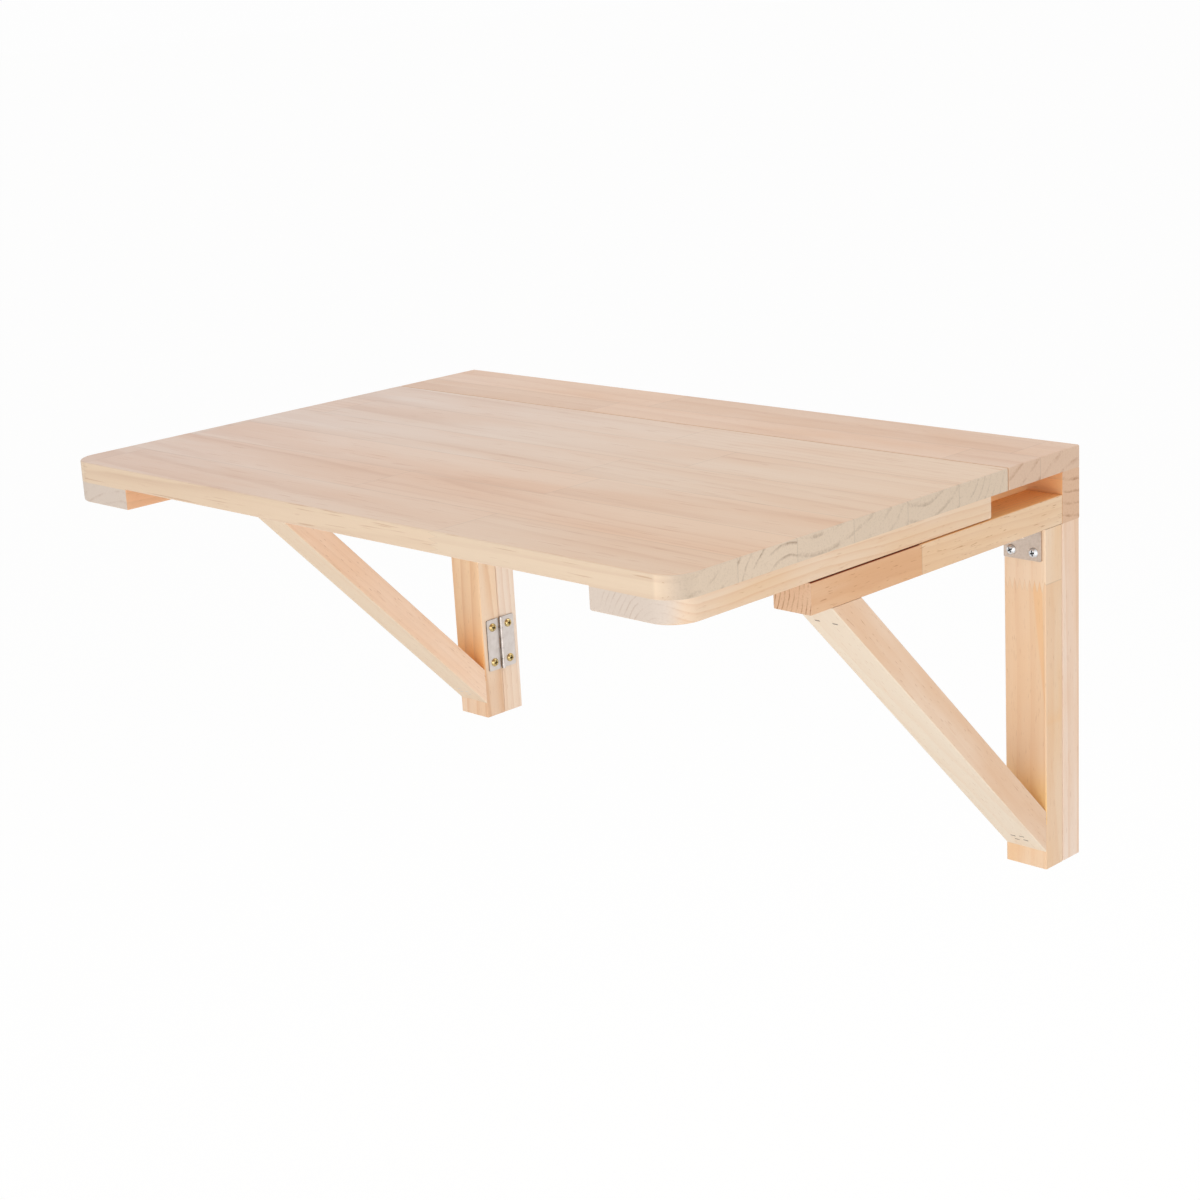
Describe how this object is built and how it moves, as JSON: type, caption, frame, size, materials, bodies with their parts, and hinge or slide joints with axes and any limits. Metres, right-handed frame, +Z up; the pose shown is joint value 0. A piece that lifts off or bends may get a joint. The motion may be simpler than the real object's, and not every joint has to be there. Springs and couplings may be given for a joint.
{
  "type": "wall mounted drop leaf table",
  "caption": "Small pine wall table: a fixed strip on a wall frame, a hinged rounded leaf with end battens, and folding triangular brackets on butt hinges.",
  "frame": {"origin": "middle of the wall rail's back face, on the wall", "axes": "+X along the wall to the right seen from the front, +Y into the wall, +Z up"},
  "size_m": [0.6, 0.4, 0.2924],
  "materials": {
    "pine_board": "satin clear, edge glued staves along the wall",
    "pine_stock": "satin clear, finger jointed lengths",
    "beech_dowel": "plain",
    "hinge_steel": "satin",
    "plate_steel": "satin",
    "zinc_screw": "bright zinc",
    "brass_screw": "yellow plated",
    "brad_steel": "plain"
  },
  "bodies": {
    "wall_frame": {"left_leaf_hinge_pin": "hinge_steel", "left_leaf_hinge_strip_leaf": "hinge_steel", "left_lower_hinge_pin": "hinge_steel", "left_lower_hinge_wall_leaf": "hinge_steel", "left_upper_hinge_pin": "hinge_steel", "left_upper_hinge_wall_leaf": "hinge_steel", "left_wall_leaf_screws": "brass_screw", "left_wall_upright": "pine_stock", "right_leaf_hinge_pin": "hinge_steel", "right_leaf_hinge_strip_leaf": "hinge_steel", "right_lower_hinge_pin": "hinge_steel", "right_lower_hinge_wall_leaf": "hinge_steel", "right_upper_hinge_pin": "hinge_steel", "right_upper_hinge_wall_leaf": "hinge_steel", "right_wall_leaf_screws": "brass_screw", "right_wall_upright": "pine_stock", "strip_hinge_screws": "brass_screw", "strip_screws": "zinc_screw", "top_strip": "pine_board", "upright_dowels": "beech_dowel", "wall_rail": "pine_stock"},
    "drop_leaf": {"batten_screws": "zinc_screw", "leaf_hinge_screws": "brass_screw", "leaf_panel": "pine_board", "left_leaf_batten": "pine_stock", "left_leaf_hinge_drop_leaf": "hinge_steel", "right_leaf_batten": "pine_stock", "right_leaf_hinge_drop_leaf": "hinge_steel"},
    "left_bracket": {"left_arm_dowel": "beech_dowel", "left_brace_brads": "brad_steel", "left_bracket_arm": "pine_stock", "left_bracket_brace": "pine_stock", "left_bracket_leaf_screws": "brass_screw", "left_bracket_upright": "pine_stock", "left_corner_plate": "plate_steel", "left_corner_plate_screws": "zinc_screw", "left_lower_hinge_bracket_leaf": "hinge_steel", "left_upper_hinge_bracket_leaf": "hinge_steel"},
    "right_bracket": {"right_arm_dowel": "beech_dowel", "right_brace_brads": "brad_steel", "right_bracket_arm": "pine_stock", "right_bracket_brace": "pine_stock", "right_bracket_leaf_screws": "brass_screw", "right_bracket_upright": "pine_stock", "right_corner_plate": "plate_steel", "right_corner_plate_screws": "zinc_screw", "right_lower_hinge_bracket_leaf": "hinge_steel", "right_upper_hinge_bracket_leaf": "hinge_steel"}
  },
  "joints": [
    {"name": "left_bracket_swing", "type": "hinge", "parent": "wall_frame", "child": "left_bracket", "pos_m": [-0.26505, -0.0202, 0], "axis": [0, 0, 1], "range_deg": [0, 90]},
    {"name": "right_bracket_swing", "type": "hinge", "parent": "wall_frame", "child": "right_bracket", "pos_m": [0.26505, -0.0202, 0], "axis": [0, 0, -1], "range_deg": [0, 90]},
    {"name": "leaf_hinge", "type": "hinge", "parent": "wall_frame", "child": "drop_leaf", "pos_m": [0, -0.0815, 0.01575], "axis": [1, 0, 0], "range_deg": [-3, 0]}
  ]
}
